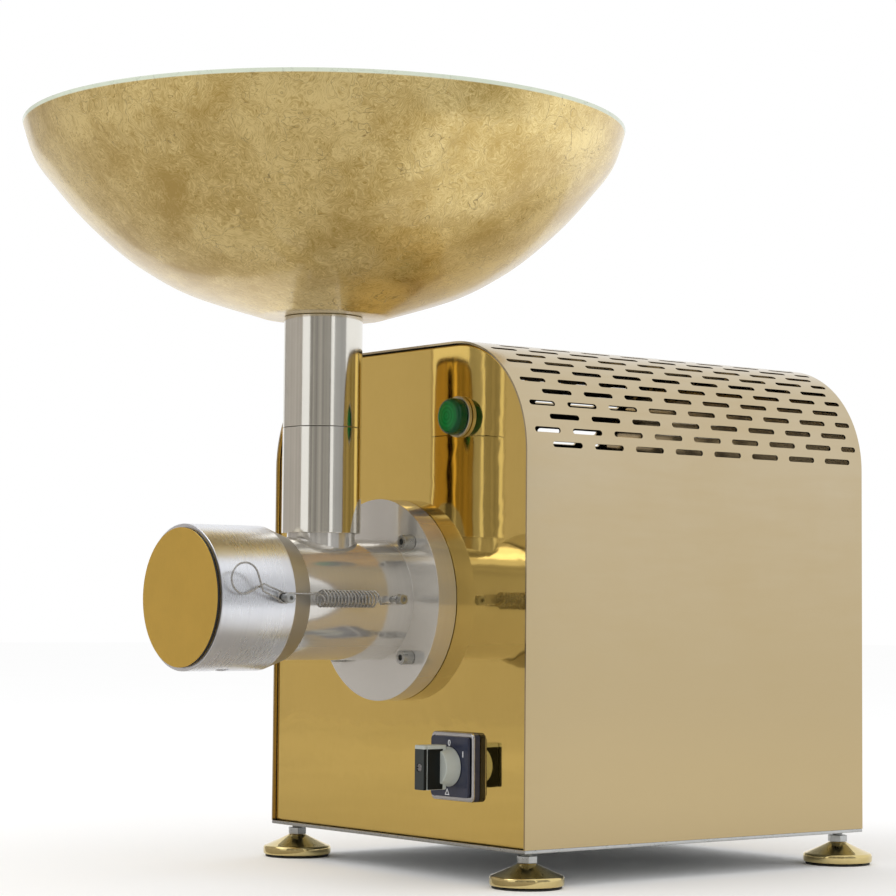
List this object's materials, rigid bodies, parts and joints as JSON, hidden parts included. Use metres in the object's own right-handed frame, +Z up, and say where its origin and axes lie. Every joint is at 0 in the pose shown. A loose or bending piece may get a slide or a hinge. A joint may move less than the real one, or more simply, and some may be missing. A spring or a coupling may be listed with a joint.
{
  "type": "nut butter grinder",
  "caption": "Bench-top nut butter grinder: arched gold sheet housing with vent slots, front grinding head with spring-held cap, vertical feed tube and wide gold-leaf hopper bowl.",
  "frame": {"origin": "middle of the footprint, on the surface that the feet stand on", "axes": "+X to the right seen from the front, +Y from the front panel to the back, +Z up"},
  "size_m": [0.432, 0.6264, 0.5329],
  "materials": {
    "gold_mirror_sheet": "mirror-polished gold-coloured sheet, faintly wavy",
    "gold_satin_sheet": "satin champagne-gold sheet",
    "gold_leaf": "clear plastic bowl backed with crinkled gold leaf, clear at the rim",
    "gold_disc": "satin gold disc with a dark edge",
    "polished_metal": "polished, with fine turning marks",
    "zinc_steel": "zinc-plated or plain steel",
    "spring_wire": "bright spring wire",
    "burr_steel": "machined stainless steel",
    "motor_casting": "painted grey casting",
    "black_plastic": "black moulded plastic",
    "grey_plastic": "light grey moulded plastic",
    "plate_frame": "bright frame with rounded corners",
    "switch_label": "grey-blue printed label with the numbers 0 and 1",
    "lamp_green": "translucent green lens",
    "lamp_metal": "bright bezel",
    "pad_gold": "polished gold",
    "foot_rubber": "black rubber"
  },
  "bodies": {
    "housing": {"base_plate": "zinc_steel", "cover": "gold_satin_sheet", "front_panel": "gold_mirror_sheet", "rear_panel": "gold_satin_sheet", "motor_front_bell": "motor_casting", "motor_stator": "motor_casting", "motor_rear_bell": "motor_casting", "bearing_front": "zinc_steel", "bearing_rear": "zinc_steel", "fan_cowl": "black_plastic", "motor_cradle": "motor_casting", "terminal_box": "motor_casting", "run_capacitor": "grey_plastic", "capacitor_clip": "zinc_steel", "barrel": "polished_metal", "flange_bolt_1": "zinc_steel", "flange_bolt_2": "zinc_steel", "flange_bolt_3": "zinc_steel", "flange_bolt_4": "zinc_steel", "barrel_stud": "zinc_steel", "cap_spring": "spring_wire", "lower_feed_tube": "polished_metal", "switch_plate": "plate_frame", "switch_label": "switch_label", "switch_body": "black_plastic", "lamp_lens": "lamp_green", "lamp_body": "lamp_metal", "lamp_nut": "zinc_steel", "power_inlet": "black_plastic", "rear_screw_1": "zinc_steel", "rear_screw_2": "zinc_steel", "rear_screw_3": "zinc_steel", "rear_screw_4": "zinc_steel"},
    "drive": {"motor_rotor": "burr_steel", "motor_fan": "black_plastic", "auger": "burr_steel", "turning_burr": "burr_steel"},
    "burr_carrier": {"fixed_burr": "burr_steel"},
    "cap": {"head_cap": "polished_metal", "cap_disc": "gold_disc", "cap_stud": "zinc_steel"},
    "clip": {"hitch_clip": "spring_wire"},
    "knob": {"switch_knob": "grey_plastic", "grip_cover": "black_plastic", "knob_screw": "zinc_steel"},
    "hopper": {"upper_feed_tube": "polished_metal", "bowl": "gold_leaf", "bowl_clamp_ring": "zinc_steel"},
    "foot_1": {"foot_pad_1": "pad_gold", "foot_rubber_1": "foot_rubber"},
    "stud_1": {"foot_stud_1": "zinc_steel"},
    "foot_2": {"foot_pad_2": "pad_gold", "foot_rubber_2": "foot_rubber"},
    "stud_2": {"foot_stud_2": "zinc_steel"},
    "foot_3": {"foot_pad_3": "pad_gold", "foot_rubber_3": "foot_rubber"},
    "stud_3": {"foot_stud_3": "zinc_steel"},
    "foot_4": {"foot_pad_4": "pad_gold", "foot_rubber_4": "foot_rubber"},
    "stud_4": {"foot_stud_4": "zinc_steel"}
  },
  "joints": [
    {"name": "drive_spin", "type": "hinge", "parent": "housing", "child": "drive", "pos_m": [0, 0.05, 0.1963], "axis": [0, -1, 0], "continuous": true},
    {"name": "burr_slide", "type": "slide", "parent": "housing", "child": "burr_carrier", "axis": [0, -1, 0], "range_m": [0, 0.006]},
    {"name": "cap_turn", "type": "hinge", "parent": "burr_carrier", "child": "cap", "pos_m": [0, -0.18105, 0.1963], "axis": [0, -1, 0], "range_deg": [0, 1080], "deforming": ["cap_spring"]},
    {"name": "clip_swing", "type": "hinge", "parent": "cap", "child": "clip", "pos_m": [0.0536, -0.16545, 0.1963], "axis": [1, 0, 0], "range_deg": [-60, 90]},
    {"name": "switch_turn", "type": "hinge", "parent": "housing", "child": "knob", "pos_m": [0.0765, -0.05105, 0.0799], "axis": [0, 1, 0], "range_deg": [0, 60]},
    {"name": "hopper_lift", "type": "slide", "parent": "housing", "child": "hopper", "axis": [0, 0, 1], "range_m": [0, 0.06]},
    {"name": "foot_1_height", "type": "slide", "parent": "housing", "child": "foot_1", "axis": [0, 0, 1], "range_m": [-0.008, 0.002]},
    {"name": "stud_1_turn", "type": "hinge", "parent": "foot_1", "child": "stud_1", "pos_m": [-0.138, -0.01955, 0.02], "axis": [0, 0, 1], "range_deg": [-2304, 576]},
    {"name": "foot_2_height", "type": "slide", "parent": "housing", "child": "foot_2", "axis": [0, 0, 1], "range_m": [-0.008, 0.002]},
    {"name": "stud_2_turn", "type": "hinge", "parent": "foot_2", "child": "stud_2", "pos_m": [-0.138, 0.28695, 0.02], "axis": [0, 0, 1], "range_deg": [-2304, 576]},
    {"name": "foot_3_height", "type": "slide", "parent": "housing", "child": "foot_3", "axis": [0, 0, 1], "range_m": [-0.008, 0.002]},
    {"name": "stud_3_turn", "type": "hinge", "parent": "foot_3", "child": "stud_3", "pos_m": [0.138, -0.01955, 0.02], "axis": [0, 0, 1], "range_deg": [-2304, 576]},
    {"name": "foot_4_height", "type": "slide", "parent": "housing", "child": "foot_4", "axis": [0, 0, 1], "range_m": [-0.008, 0.002]},
    {"name": "stud_4_turn", "type": "hinge", "parent": "foot_4", "child": "stud_4", "pos_m": [0.138, 0.28695, 0.02], "axis": [0, 0, 1], "range_deg": [-2304, 576]}
  ],
  "couplings": [
    {"joint": "burr_slide", "follows": "cap_turn", "m_per_rad": 0.00031831},
    {"joint": "stud_1_turn", "follows": "foot_1_height", "rad_per_m": 5026.5},
    {"joint": "stud_2_turn", "follows": "foot_2_height", "rad_per_m": 5026.5},
    {"joint": "stud_3_turn", "follows": "foot_3_height", "rad_per_m": 5026.5},
    {"joint": "stud_4_turn", "follows": "foot_4_height", "rad_per_m": 5026.5}
  ]
}
